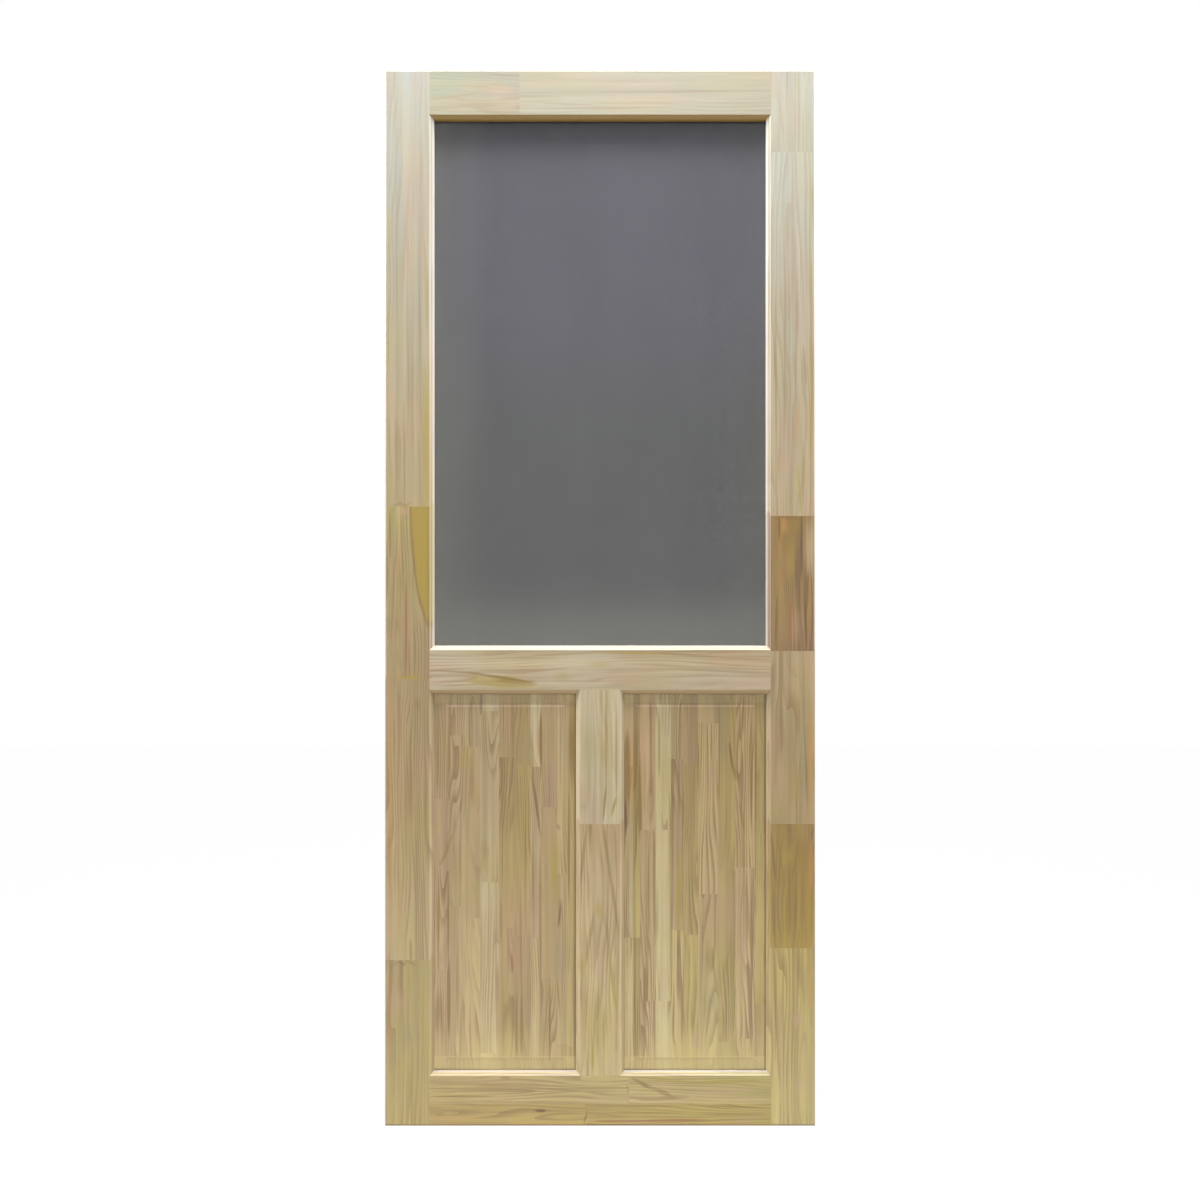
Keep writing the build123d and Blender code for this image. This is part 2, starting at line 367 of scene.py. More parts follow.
def sight_lines(left, right, below, above):
    """The dark joints round a panel, upright and level, deepened as painted shade, and painted light on its
    margin.
    """
    low_x, high_x = [place / MM - joint_shift for place in (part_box(left)[1].x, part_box(right)[0].x)]
    low_z, high_z = [place / MM for place in (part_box(below)[1].z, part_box(above)[0].z)]
    # dark joint lines, made darker as painted shade of the recess; the upper level one is a painted shadow
    # under the middle rail
    uprights = [upright(low_x, 2.6, "brown", 0.65), upright(high_x, 2.6, "brown", 0.65)]
    levels = [level_line(low_z + 1, 2.4, "brown", 0.7), level_line(high_z + 1.5, 3.4, "brown", 0.85)]
    # painted light: the margin, shaded in its recess, is made paler, most of all along the bottom and over
    # its cove
    margin_light = [upright(low_x + margin, margin, "painted_light", 0.08),
               upright(high_x - margin, margin, "painted_light", 0.25),
               level_line(low_z + margin, margin, "painted_light", 0.42),
               level_line(low_z + 2.2 * margin, 7, "painted_light", 0.4),
               level_line(high_z - margin, margin, "painted_light", 0.2)]
    return uprights, levels, margin_light


left_uprights, left_levels, left_margin_light = sight_lines(
    "left_stile_block_1", "mullion_lower", "bottom_rail_upper_left", "mid_rail")
right_uprights, right_levels, right_margin_light = sight_lines(
    "mullion_lower", "right_stile_block_1", "bottom_rail_upper_right", "mid_rail")


def rim_shades(node):
    """Painted shade along the sides that a board shares with the leaf's outline."""
    low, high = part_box(node)
    # painted shade: grey along the sides and top, darker along the edge near the floor
    sides = ((low.x - lowest.x, upright(lowest.x / MM, 3, "grey", 0.75, edge=0.9)),
             (highest.x - high.x, upright(highest.x / MM, 3, "grey", 0.75, edge=0.9)),
             (highest.z - high.z, level_line(highest.z / MM, 3, "grey", 0.6, edge=0.9)),
             (low.z - lowest.z, level_line(lowest.z / MM, 3.8, "resin", 0.9)))
    return [line for gap, line in sides if gap < MM]


print("top right board has", len(rim_shades("right_stile_block_6")), "rim_shades")

# %% [markdown]
# ## Staves
#
# The panels aren't single boards. Narrow staves are glued edge to edge, and each stave is itself finger
# jointed out of short lengths. Across the panel a stepped ramp gives every stave its number, and a second
# one its kind of wood, named by an ink. Along the panel a rounded-down count gives every length a number,
# and white noise turns the two numbers into that piece's own tint and shade and its own place in the log.

# %% Staves
stave_piece_length = 330
# how far apart in the log two stave pieces may lie, in metres
stave_scatter = (0.4, 0.1, 5.0)
stave_tint = 0.22
tint_from = 0.4
stave_shades = (0.88, 1.1)
kind_strength = 0.4


def stepped_ramp(tree, board, position, values):
    """A ramp across the board that jumps to the next value at every stave's left edge."""
    low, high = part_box(board["node"])
    axes = add_node(tree, "SeparateXYZ", {0: position})
    across = add_node(tree, "MapRange",
                      {"Value": axes.outputs["X"], "From Min": low.x, "From Max": high.x})
    ramp = add_node(tree, "ValToRGB", {"Fac": across.outputs[0]})
    ramp.color_ramp.interpolation = "CONSTANT"
    steps = ramp.color_ramp.elements
    steps.remove(steps[1])
    for number, value in enumerate(values):
        edge = board["staves"][number][0] * MM
        step = steps.new((edge - low.x) / (high.x - low.x)) if number else steps[0]
        step.color = value
    return ramp.outputs["Color"]


def stave_numbers(tree, board, position):
    """A random colour for each stave piece."""
    count = len(board["staves"])
    greys = [(n / count, n / count, n / count, 1) for n in range(count)]
    numbers = stepped_ramp(tree, board, position, greys)
    axes = add_node(tree, "SeparateXYZ", {0: position})
    along = add_node(tree, "Math",
                     {0: axes.outputs["Z"], 1: 1 / (stave_piece_length * MM)}, operation="MULTIPLY")
    shift = add_node(tree, "TexWhiteNoise", {"W": numbers}, noise_dimensions="1D")
    shifted = add_node(tree, "Math",
                       {0: shift.outputs["Value"], 1: board["seed"], 2: along.outputs[0]},
                       operation="MULTIPLY_ADD")
    piece = add_node(tree, "Math", {0: shifted.outputs[0]}, operation="FLOOR")
    pair = add_node(tree, "CombineXYZ", {"X": numbers, "Y": piece.outputs[0]})
    return add_node(tree, "TexWhiteNoise", {"Vector": pair.outputs[0]}, noise_dimensions="3D")


print("stave pieces, mm:", stave_piece_length)

# %% [markdown]
# ## One board's material
#
# The recipe, from the log outwards. Two tones run from one end of the board to the other. Olive sap wood
# and pink wood are mixed in where the patch noise is high, then the late wood of the rings, then the marks,
# then the fibres as a slight change of brightness. Last come the places that the face's tones don't reach:
# the dark end grain, the mouldings, which the cutter left less sanded and which are made paler as a painted
# highlight, and the undersides, which are made browner as painted shade. The same rings and fibres give the
# bump and move the roughness a little.

# %% Planed pine
# edge is a pale painted highlight on mouldings and edges; under is a browner painted shade on faces that look
# down
plain_board = {"along": "z", "heart": (160, 90), "lean": 0.4, "ring": 8, "late": "70501A",
               "late_strength": 0.5, "line_strength": 0.45, "contrast": 0.14, "olive": "A28C48",
               "olive_strength": 0.3, "rose": "B08A70", "rose_strength": 0.3, "edge": "EEE8E2",
               "edge_strength": 0.5, "under": "936E0A", "under_strength": 0.97, "seed": 1.0,
               "staves": None, "marks": ()}


def planed_pine(node, **look):
    """Give a board its own cut of planed pine."""
    board = {**plain_board, "node": node, **look}
    material, tree, shader = new_material("planed pine " + node.replace("_", " "))
    coordinates = add_node(tree, "TexCoord")
    position, normal = coordinates.outputs["Object"], coordinates.outputs["Normal"]
    place = log_coordinates(tree, board, position)
    piece = None
    if board["staves"]:
        piece = stave_numbers(tree, board, position)
        place = add_node(tree, "VectorMath",
                         {0: piece.outputs["Color"], 1: stave_scatter, 2: place},
                         operation="MULTIPLY_ADD").outputs[0]
    patches = stretched_noise(tree, place, patch_width, patch_length, board["seed"] + 40, 3.0)
    streaks = stretched_noise(tree, place, streak_width, streak_length, board["seed"] + 10, 3.0)
    lines = stretched_noise(tree, place, line_width, line_length, board["seed"] + 30, 2.0)
    fibres = stretched_noise(tree, place, fibre_width, fibre_length, board["seed"] + 20, 2.0)
    late = growth_rings(tree, place, board)
    base = board_tones(tree, board, position, piece)
    base = streak_tones(tree, board, base, patches, streaks, lines, late)
    bent = bent_position(tree, board, position, streaks)
    for spot in [*board["marks"], *rim_shades(node)]:
        base = add_mark(tree, base, position if spot["straight"] else bent, spot)
    moulded = moulded_share(tree, normal)
    base = fibre_tones(tree, board, base, fibres, normal, moulded)
    tree.links.new(base, shader.inputs["Base Color"])
    wood_surface(tree, shader, fibres, late, moulded)
    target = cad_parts[node]
    target.data.materials.clear()
    target.data.materials.append(material)
    print(node, "marks:", len(board["marks"]))


def bent_position(tree, board, position, streaks):
    """The position, pushed to and fro by the streak noise, mostly along the grain."""
    bend = (bend_along, 0, bend_across) if board["along"] == "x" else (bend_across, 0, bend_along)
    around = add_node(tree, "VectorMath", {0: streaks.outputs["Color"], 1: (0.5, 0.5, 0.5)},
                      operation="SUBTRACT")
    return add_node(tree, "VectorMath", {0: around.outputs[0], 1: Vector(bend) * MM, 2: position},
                    operation="MULTIPLY_ADD").outputs[0]


# %% Tones along the board
def board_tones(tree, board, position, piece):
    """The board's ground colour, from its low end to its high end, and from stave to stave."""
    low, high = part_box(board["node"])
    axis = "XYZ".index(board["along"].upper())
    axes = add_node(tree, "SeparateXYZ", {0: position})
    base = stained(tree, colour(board["tone"]), board["far_tone"], axes.outputs[axis],
                   (low[axis], high[axis]), 1.0, ease="LINEAR")
    if piece is None:
        return base
    kinds = stepped_ramp(tree, board, position, [colour(inks[kind]) for start, kind in board["staves"]])
    base = add_node(tree, "Mix", {0: kind_strength, 6: base, 7: kinds}, data_type="RGBA").outputs[2]
    parts = add_node(tree, "SeparateColor", {0: piece.outputs["Color"]})
    for channel, name in ((1, "olive"), (2, "rose")):
        base = stained(tree, base, board[name], parts.outputs[channel], (tint_from, 1), stave_tint,
                       ease="LINEAR")
    return shaded(tree, base, piece.outputs["Value"], (0, 1), *stave_shades)


# %% Sap, pink wood and late wood
# the values of the noises between which each comes in
olive_span, rose_span, late_span, line_span = (0.45, 0.62), (0.47, 0.62), (0.38, 0.62), (0.56, 0.7)


def streak_tones(tree, board, base, patches, streaks, lines, late):
    """Patches of sap and pink wood, paler and darker streaks, late wood, and thin lines of resin."""
    parts = add_node(tree, "SeparateColor", {0: patches.outputs["Color"]})
    base = stained(tree, base, board["olive"], parts.outputs[1], olive_span, board["olive_strength"])
    base = stained(tree, base, board["rose"], parts.outputs[2], rose_span, board["rose_strength"])
    contrast = board["contrast"]
    base = shaded(tree, base, streaks.outputs["Fac"], noise_span, 1 - contrast, 1 + contrast)
    depth = add_node(tree, "MapRange",
                     {"Value": parts.outputs[0], "From Min": late_span[0], "From Max": late_span[1],
                      "To Max": board["late_strength"]}, interpolation_type="SMOOTHSTEP")
    amount = add_node(tree, "Math", {0: late, 1: depth.outputs[0]}, operation="MULTIPLY")
    base = add_node(tree, "Mix", {0: amount.outputs[0], 6: base, 7: colour(board["late"])},
                    data_type="RGBA").outputs[2]
    return stained(tree, base, board["late"], lines.outputs["Fac"], line_span, board["line_strength"])


# %% Fibres, ends, mouldings and undersides
fibre_shades = (0.95, 1.05)
end_tone, end_strength = "8A6C45", 0.45
# cosines between which a face counts more and more as an end, as a moulding and as an underside
end_span, moulded_span, underside_shade_span = (0.8, 0.95), (0.93, 0.6), (0.15, 0.6)


def squareness(tree, normal, way):
    """How squarely a point faces a direction or its opposite, as a cosine."""
    cosine = add_node(tree, "VectorMath", {0: normal, 1: way}, operation="DOT_PRODUCT")
    return add_node(tree, "Math", {0: cosine.outputs["Value"]}, operation="ABSOLUTE").outputs[0]


def moulded_share(tree, normal):
    """How far a point belongs to an edge or a moulding, by how far its normal turns off the face's."""
    return add_node(tree, "MapRange",
                    {"Value": squareness(tree, normal, (0, 1, 0)), "From Min": moulded_span[0],
                     "From Max": moulded_span[1]}).outputs[0]


def fibre_tones(tree, board, base, fibres, normal, moulded):
    """Fibres lighten and darken the wood; ends get their own tone, mouldings a painted highlight, undersides
    painted shade.
    """
    base = shaded(tree, base, fibres.outputs["Fac"], noise_span, *fibre_shades)
    along = (1, 0, 0) if board["along"] == "x" else (0, 0, 1)
    base = stained(tree, base, end_tone, squareness(tree, normal, along), end_span, end_strength,
                   ease="LINEAR")
    # painted highlight: mouldings and edges are made paler, towards the edge tone
    amount = add_node(tree, "Math", {0: moulded, 1: board["edge_strength"]}, operation="MULTIPLY")
    base = add_node(tree, "Mix", {0: amount.outputs[0], 6: base, 7: colour(board["edge"])},
                    data_type="RGBA").outputs[2]
    # painted shade: faces that look down are made browner
    down = add_node(tree, "VectorMath", {0: normal, 1: (0, 0, -1)}, operation="DOT_PRODUCT")
    return stained(tree, base, board["under"], down.outputs["Value"], underside_shade_span, board["under_strength"])


print("end grain starts where a face turns within", round(math.degrees(math.acos(end_span[0]))), "degrees")

# %% Surface of planed wood
face_roughness = (0.3, 0.4)
# the faces are sanded after the joints are glued, the mouldings stay as the cutter left them
moulding_roughness = 0.45
ring_relief = 0.4


def wood_surface(tree, shader, fibres, late, moulded):
    """Roughness and fine relief from the same fibres and rings."""
    gloss = add_node(tree, "MapRange",
                     {"Value": fibres.outputs["Fac"], "From Min": noise_span[0], "From Max": noise_span[1],
                      "To Min": face_roughness[0], "To Max": face_roughness[1]})
    gloss = add_node(tree, "Math", {0: moulded, 1: moulding_roughness, 2: gloss.outputs[0]},
                     operation="MULTIPLY_ADD")
    height = add_node(tree, "Math", {0: late, 1: ring_relief, 2: fibres.outputs["Fac"]},
                      operation="MULTIPLY_ADD")
    bump = add_node(tree, "Bump",
                    {"Height": height.outputs[0], "Strength": 0.5, "Distance": grain_relief * MM})
    tree.links.new(gloss.outputs[0], shader.inputs["Roughness"])
    tree.links.new(bump.outputs[0], shader.inputs["Normal"])
    shader.inputs["IOR"].default_value = 1.5
    shader.inputs["Specular IOR Level"].default_value = 1.0


# the boards near the top are only faintly striped with sap and pink wood
faint_stripes = {"olive_strength": 0.2, "rose_strength": 0.2}
print("roughness of the faces:", *face_roughness)

# %% [markdown]
# ## The left stile
#
# Four lengths of pine are finger jointed end to end, and each came from another tree, so tone and grain
# change at every joint. From the floor up: a yellowish length with a smudge under its joint, a pinkish one
# with a darker middle and an orange line near the hinge edge, a short olive one with a tongue of sap that
# ends in a rounded tip, and the long pale one at the top, into which the sap runs on faintly. The grey of
# its upper end is partly a painted sheen.

# %% Left stile
planed_pine(
    "left_stile_block_1", tone="AB9856", far_tone="9C8A55", heart=(-140, 70), ring=9, seed=1.3,
    edge_strength=0.15, late_strength=0.4, marks=[
        mark(38, -703, 26, 4, "brown", 0.5), patch(28, -780, 27, 32, "rose", 0.35),
        patch(40, -842, 15, 40, "grey", 0.35), mark(73, -810, 3, 110, "sap", 0.6),
        mark(10, -805, 3, 105, "orange", 0.25), *left_uprights])
planed_pine(
    "left_stile_block_2", tone="AB996B", far_tone="99855C", heart=(-70, 60), lean=0.5, ring=8, seed=2.7,
    edge_strength=0.15, marks=[
        patch(44, -388, 14, 150, "brown", 0.38), patch(63, -202, 10, 18, "brown", 0.35),
        mark(11, -370, 4, 230, "orange", 0.4), mark(30, -230, 3, 60, "brown", 0.3),
        mark(80, -438, 3, 70, "sap", 0.5), mark(72, -628, 3, 80, "orange", 0.3), *left_uprights])
planed_pine(
    "left_stile_block_3", tone="9B8561", far_tone="9C8E57", heart=(-60, 80), lean=-0.6, ring=7, seed=3.1,
    marks=[
        mark(92, 188, 46, 250, "brown", 0.7, edge=0.06), mark(93, 192, 43, 247, "sap", 0.75, edge=0.08),
        patch(31, 164, 20, 12, "rose", 0.45), mark(9, 112, 2.4, 60, "resin", 0.4),
        mark(24, 78, 2.6, 100, "brown", 0.4), mark(33, 75, 2.6, 96, "brown", 0.3),
        mark(40, -58, 3, 112, "red", 0.7), mark(17, -56, 3, 90, "orange", 0.2),
        # the straight line at 84.5 is a painted shadow in the moulding's quirk
        upright(84.5, 2.6, "brown", 0.35), patch(46, -152, 44, 7, "sap", 0.6),
        mark(46, -154, 16, 5, "sap", 0.6)])
# this board's greyer upper tone is partly a painted sheen
planed_pine(
    "left_stile_block_4", tone="9F8D66", far_tone="91948A", heart=(-120, 60), lean=0.3, ring=10, seed=4.9,
    late_strength=0.25, **faint_stripes, marks=[
        patch(48, 710, 14, 210, "rose", 0.25), mark(41, 700, 3, 150, "grey", 0.35, fall=3),
        mark(78, 600, 4, 110, "sap", 0.45, fall=-2), patch(80, 300, 13, 200, "sap", 0.6),
        mark(67, 296, 3, 140, "grey", 0.3), mark(33, 182, 22, 4, "brown", 0.35),
        # the straight sap-coloured line at 84.5 is a painted shadow in the moulding's quirk
        mark(84.5, 300, 2.4, 300, "sap", 0.5, straight=True)])

# %% [markdown]
# ## The right stile
#
# Six lengths here. Two of them are much darker and browner than the rest, at mid height and again below
# it, and they are what the eye goes to first. The thin dark lines in them are resin, apart from the straight
# line along the moulding's edge, which is a painted shadow in the quirk.

# %% Right stile
planed_pine(
    "right_stile_block_1", tone="B6A666", far_tone="A7924E", heart=(90, 60), ring=9, seed=5.2,
    edge_strength=0.15, marks=[
        mark(752, -786, 2.8, 130, "brown", 0.4), mark(767, -786, 2.8, 130, "brown", 0.4),
        patch(799, -718, 15, 80, "brown", 0.35, fall=-9), patch(793, -815, 20, 20, "rose", 0.45),
        patch(799, -938, 18, 26, "rose", 0.3), mark(817, -738, 4, 66, "orange", 0.35), *right_uprights])
planed_pine(
    "right_stile_block_2", tone="997E23", far_tone="846525", heart=(-8, 58), lean=-1.2, ring=7, seed=6.6,
    edge_strength=0.15, late="6E5226", rose_strength=0.1, marks=[
        mark(747, -498, 4, 66, "resin", 0.4, fall=-5), patch(775, -496, 18, 26, "sap", 0.5),
        mark(790, -504, 3, 52, "brown", 0.45, fall=10), mark(762, -508, 3, 54, "brown", 0.4, fall=-10),
        patch(776, -600, 10, 66, "brown", 0.45), mark(749, -614, 3, 60, "resin", 0.35),
        mark(820, -514, 5, 66, "orange", 0.5), *right_uprights])
planed_pine(
    "right_stile_block_3", tone="968354", far_tone="9C8B68", heart=(120, 70), ring=8, seed=7.4,
    edge_strength=0.15, marks=[
        patch(820, -302, 7, 150, "orange", 0.75), mark(806, -174, 3, 90, "resin", 0.25),
        mark(810, -325, 3, 120, "resin", 0.3, fall=-2), patch(782, -282, 10, 160, "brown", 0.25),
        mark(760, -196, 3, 90, "brown", 0.12), patch(791, -373, 10, 34, "sap", 0.4), *right_uprights])
planed_pine(
    "right_stile_block_4", tone="86663E", far_tone="7A5E1B", heart=(40, 66), lean=0.9, ring=6, seed=8.8,
    late="5E4524", late_strength=0.75, contrast=0.2, olive_strength=0.2, marks=[
        patch(768, 138, 11, 24, "orange", 0.5), mark(760, 137, 3.6, 28, "resin", 0.6),
        mark(777, 155, 36, 4, "resin", 0.25), patch(780, 70, 15, 54, "sap", 0.35),
        patch(818, 100, 14, 90, "pale", 0.35), mark(802, 102, 3.2, 74, "resin", 0.8),
        mark(813, 6, 3, 60, "resin", 0.6, fall=3), mark(810, -52, 3.4, 70, "resin", 0.55, fall=-2),
        # the straight line at 741 is a painted shadow in the moulding's quirk, not resin
        mark(753, -46, 3.2, 72, "resin", 0.5, fall=2), upright(741, 3.2, "resin", 0.75),
        patch(792, -52, 18, 50, "rose", 0.3), mark(780, -50, 3, 58, "red", 0.45)])
# the pale grey tones of this and the next board are partly the wood's colour and partly a painted sheen
planed_pine(
    "right_stile_block_5", tone="A59473", far_tone="9E9F90", heart=(110, 80), lean=0.3, ring=10, seed=9.5,
    late_strength=0.3, **faint_stripes, marks=[
        mark(817, 668, 3, 180, "sap", 0.3), mark(820, 390, 4, 160, "sap", 0.4),
        mark(808, 450, 2.6, 48, "brown", 0.45, fall=-4), mark(795, 352, 3, 74, "orange", 0.3, fall=6),
        mark(798, 210, 3, 60, "sap", 0.5, fall=-5), mark(805, 242, 2.6, 80, "brown", 0.35),
        mark(784, 622, 4, 130, "grey", 0.25), patch(766, 258, 20, 24, "rose", 0.35),
        # the straight line at 741 is a painted shadow in the moulding's quirk
        mark(750, 430, 3, 108, "grey", 0.15), upright(741, 2.6, "brown", 0.3)])
planed_pine(
    "right_stile_block_6", tone="979583", far_tone="979583", heart=(80, 90), ring=10, seed=10.1,
    late_strength=0.25, **faint_stripes, marks=[
        patch(792, 990, 6, 34, "green", 0.4), mark(811, 934, 3, 96, "green", 0.4)])

# %% [markdown]
# ## The rails
#
# In a rail the grain lies level, so the log is turned on its side. The top rail is pale and nearly plain,
# with one joint. The middle rail is one board with a wedge of brown heartwood that comes to a point, and a
# thin dark line above it. The bottom rail is two boards glued edge to edge, each jointed once, and its lower
# left one holds the only knot of the leaf. The upper edges of the middle and bottom rails catch the most
# light, so the painted highlight on their mouldings is greyer.

# %% Rails
# the pale grey tones of both top rails are partly the wood's colour and partly a painted sheen
planed_pine(
    "top_rail_left", along="x", tone="858A6E", far_tone="827D66", heart=(90, 70), ring=10, seed=11.3,
    late_strength=0.3, **faint_stripes, marks=[
        patch(212, 984, 66, 18, "grey", 0.55), patch(222, 978, 52, 12, "rose", 0.3),
        mark(132, 966, 62, 2.6, "brown", 0.3, fall=-8), mark(180, 949, 60, 2.4, "brown", 0.25)])
planed_pine(
    "top_rail_right", along="x", tone="8B876C", far_tone="8D866D", heart=(-110, 80), ring=11, seed=12.6,
    late_strength=0.25, **faint_stripes, marks=[
        mark(360, 950, 76, 2.6, "brown", 0.25, fall=3), patch(490, 958, 230, 20, "rose", 0.15),
        patch(366, 987, 60, 18, "green", 0.25), patch(664, 987, 90, 18, "green", 0.2)])
planed_pine(
    "mid_rail", along="x", tone="B8AA8D", far_tone="AC9E81", heart=(-100, 70), lean=0.4, ring=9, seed=13.9,
    # the middle rail's painted highlight is greyer and its painted shade underneath is lighter
    edge="BCB8B6", edge_strength=0.5, under="A08040", under_strength=0.75, late_strength=0.32,
    line_strength=0.36, marks=[
        *left_levels, mark(222, -162, 74, 13, "sap", 0.55, fall=5, edge=0.3),
        mark(246, -160, 44, 7, "brown", 0.45, fall=5, edge=0.5),
        mark(132, -142, 66, 2.8, "brown", 0.45, fall=4), mark(222, -153, 80, 3, "brown", 0.7, fall=7),
        mark(346, -107, 90, 2.8, "brown", 0.3, fall=-3), mark(470, -105, 90, 2.8, "sap", 0.6, fall=1),
        mark(578, -109, 76, 3.2, "brown", 0.4, fall=4), mark(684, -116, 68, 2.6, "brown", 0.3, fall=3),
        patch(418, -127, 40, 10, "sap", 0.35), patch(338, -152, 28, 16, "sap", 0.3),
        mark(658, -140, 100, 4, "grey", 0.4, fall=3), patch(490, -134, 80, 12, "rose", 0.25)])
planed_pine(
    "bottom_rail_lower_left", along="x", tone="A4894A", far_tone="A99143", heart=(60, 50), ring=7,
    seed=14.2, marks=[
        patch(296, -987, 26, 7, "brown", 0.5), mark(296, -987, 13, 4, "resin", 0.8),
        patch(105, -994, 12, 6, "brown", 0.4), mark(387, -992, 3.2, 24, "brown", 0.75),
        mark(350, -992, 46, 2, "brown", 0.3)])
planed_pine(
    "bottom_rail_lower_right", along="x", tone="A48E44", far_tone="A69340", heart=(70, 55), ring=7,
    seed=15.7, marks=[
        mark(474, -978, 100, 2.6, "brown", 0.2), mark(672, -979, 84, 2.6, "brown", 0.5, fall=2),
        mark(486, -991, 112, 2.4, "brown", 0.45), mark(674, -994, 78, 3, "brown", 0.5),
        mark(452, -1007, 60, 3.2, "red", 0.7), mark(548, -1005, 86, 3.4, "red", 0.75, fall=-1)])
planed_pine(
    "bottom_rail_upper_left", along="x", tone="AF985A", far_tone="AE9D60", heart=(80, 60), ring=8,
    seed=16.4, edge="ACAAB0", edge_strength=0.66, late_strength=0.5, marks=[
        mark(160, -935, 92, 2.4, "brown", 0.35), mark(212, -949, 158, 2.6, "brown", 0.5),
        mark(276, -939, 154, 2.2, "brown", 0.35), mark(146, -959, 76, 2.6, "brown", 0.65),
        mark(420, -942, 80, 2.2, "brown", 0.4), patch(182, -928, 96, 7, "rose", 0.35),
        mark(231, -923, 14, 4, "brown", 0.45), mark(469, -955, 3, 21, "brown", 0.75), *left_levels])
planed_pine(
    "bottom_rail_upper_right", along="x", tone="B3A262", far_tone="A1944D", heart=(-60, 60), ring=9,
    seed=17.8, edge="ACAAB0", edge_strength=0.66, marks=[
        mark(492, -934, 26, 5, "brown", 0.5, fall=29), mark(524, -947, 50, 5, "brown", 0.5, fall=21),
        mark(561, -960, 34, 4, "brown", 0.35), mark(560, -930, 64, 2.8, "sap", 0.6, fall=4),
        mark(662, -931, 90, 3.4, "sap", 0.75, fall=-2), patch(534, -940, 42, 10, "rose", 0.3),
        patch(676, -947, 62, 10, "rose", 0.35), *left_levels])

# %% [markdown]
# ## The mullion
#
# Two lengths stand between the panels. The upper one is cut far from the heart and is nearly plain. The
# lower one was cut close to it, with the heart leaning back, and shows a stack of arches that point up.

# %% Mullion
planed_pine(
    "mullion_upper", tone="B1A482", far_tone="B4A584", heart=(120, 80), ring=12, seed=18.5,
    edge_strength=0.15, late_strength=0.16, line_strength=0.3, marks=[
        mark(426, -278, 3, 128, "brown", 0.5), mark(423, -394, 3.4, 42, "brown", 0.7, fall=5),
        mark(446, -294, 3, 124, "brown", 0.45), mark(441, -404, 3, 26, "brown", 0.5, fall=14),
        patch(394, -288, 20, 96, "green", 0.4), patch(381, -402, 10, 12, "green", 0.5),
        patch(420, -292, 6, 40, "sap", 0.35), left_uprights[1], right_uprights[0]])
planed_pine(
    "mullion_lower", tone="BEAE79", far_tone="A8906A", heart=(0, 30), lean=2.2, ring=9, seed=19.2,
    edge_strength=0.15, late_strength=0.45, marks=[
        mark(382, -497, 4, 78, "brown", 0.48, fall=6), mark(427, -494, 4, 74, "brown", 0.52, fall=-7),
        mark(444, -496, 3, 70, "brown", 0.35, fall=-3), mark(442, -596, 4, 68, "brown", 0.48, fall=-8),
        patch(411, -596, 10, 22, "sap", 0.5), mark(394, -656, 4.4, 66, "brown", 0.4, fall=9),
        mark(427, -646, 4.4, 54, "brown", 0.25, fall=-9), patch(410, -700, 17, 58, "rose", 0.45),
        patch(379, -708, 12, 33, "sap", 0.45), mark(438, -736, 4, 72, "sap", 0.7, fall=-7),
        mark(383, -778, 4, 90, "sap", 0.2, fall=4), mark(400, -886, 3.4, 30, "sap", 0.8),
        patch(414, -830, 60, 110, "sap", 0.35), left_uprights[1], right_uprights[0]])

# %% [markdown]
# ## The panels
#
# Both panels are glued up from staves, most of them 20 to 40 mm wide. The joints are laid where they show,
# nine in the left panel and ten in the right one. Each stave gets its left edge and its kind of wood, and
# the stave noise does the rest. The marks over them are the lines and patches that a viewer would notice.

# %% Panels
planed_pine(
    "panel_left", tone="B6A264", far_tone="8D7F5D", heart=(-60, 60), lean=0.3, ring=7, seed=20.9,
    edge_strength=0.3, late_strength=0.65, line_strength=0.55, contrast=0.2, rose_strength=0.2,
    staves=(
        (0, "rose"), (122, "plain"), (152, "plain"), (182, "pale"), (219, "brown"), (248, "heart"),
        (279, "pale"), (300, "rose"), (331, "plain"), (352, "heart")),
    marks=[
        # the broad pale patch low in the panel is painted light thrown up from the floor
        *left_margin_light, *left_uprights, *left_levels, patch(230, -900, 190, 90, "painted_light", 0.4),
        patch(245, -640, 80, 150, "rose", 0.3), patch(128, -515, 28, 60, "red", 0.15),
        mark(123, -255, 3, 76, "brown", 0.45), mark(101, -326, 3.6, 54, "brown", 0.3),
        mark(184, -203, 3, 28, "resin", 0.5), mark(300, -277, 3.6, 72, "brown", 0.9),
        mark(283, -307, 3, 56, "brown", 0.5, fall=-4), mark(291, -398, 3.6, 76, "resin", 0.6, fall=-8),
        mark(299, -640, 3, 230, "brown", 0.6), patch(360, -282, 12, 116, "heart", 0.8),
        mark(354, -475, 3.6, 134, "heart", 0.65), patch(334, -444, 6.5, 8, "brown", 0.55),
        patch(327, -527, 11, 86, "sap", 0.75), mark(335, -612, 3, 26, "resin", 0.6, fall=8),
        mark(118, -484, 4, 42, "brown", 0.4, fall=22), mark(103, -604, 3.6, 88, "brown", 0.45),
        mark(121, -618, 3.4, 96, "brown", 0.75), patch(106, -793, 8, 54, "heart", 0.55),
        mark(122, -768, 3.4, 100, "heart", 0.8), mark(223, -624, 4, 54, "brown", 0.4),
        mark(244, -706, 3, 24, "red", 0.6), mark(261, -653, 3.2, 126, "brown", 0.42),
        mark(252, -820, 3.2, 78, "heart", 0.6), mark(262, -824, 3, 76, "heart", 0.55),
        mark(317, -824, 3, 86, "brown", 0.55), mark(364, -774, 3, 144, "heart", 0.55),
        patch(190, -590, 12, 100, "pale", 0.4), patch(340, -697, 20, 66, "grey", 0.4),
        patch(153, -314, 20, 28, "sap", 0.4)])
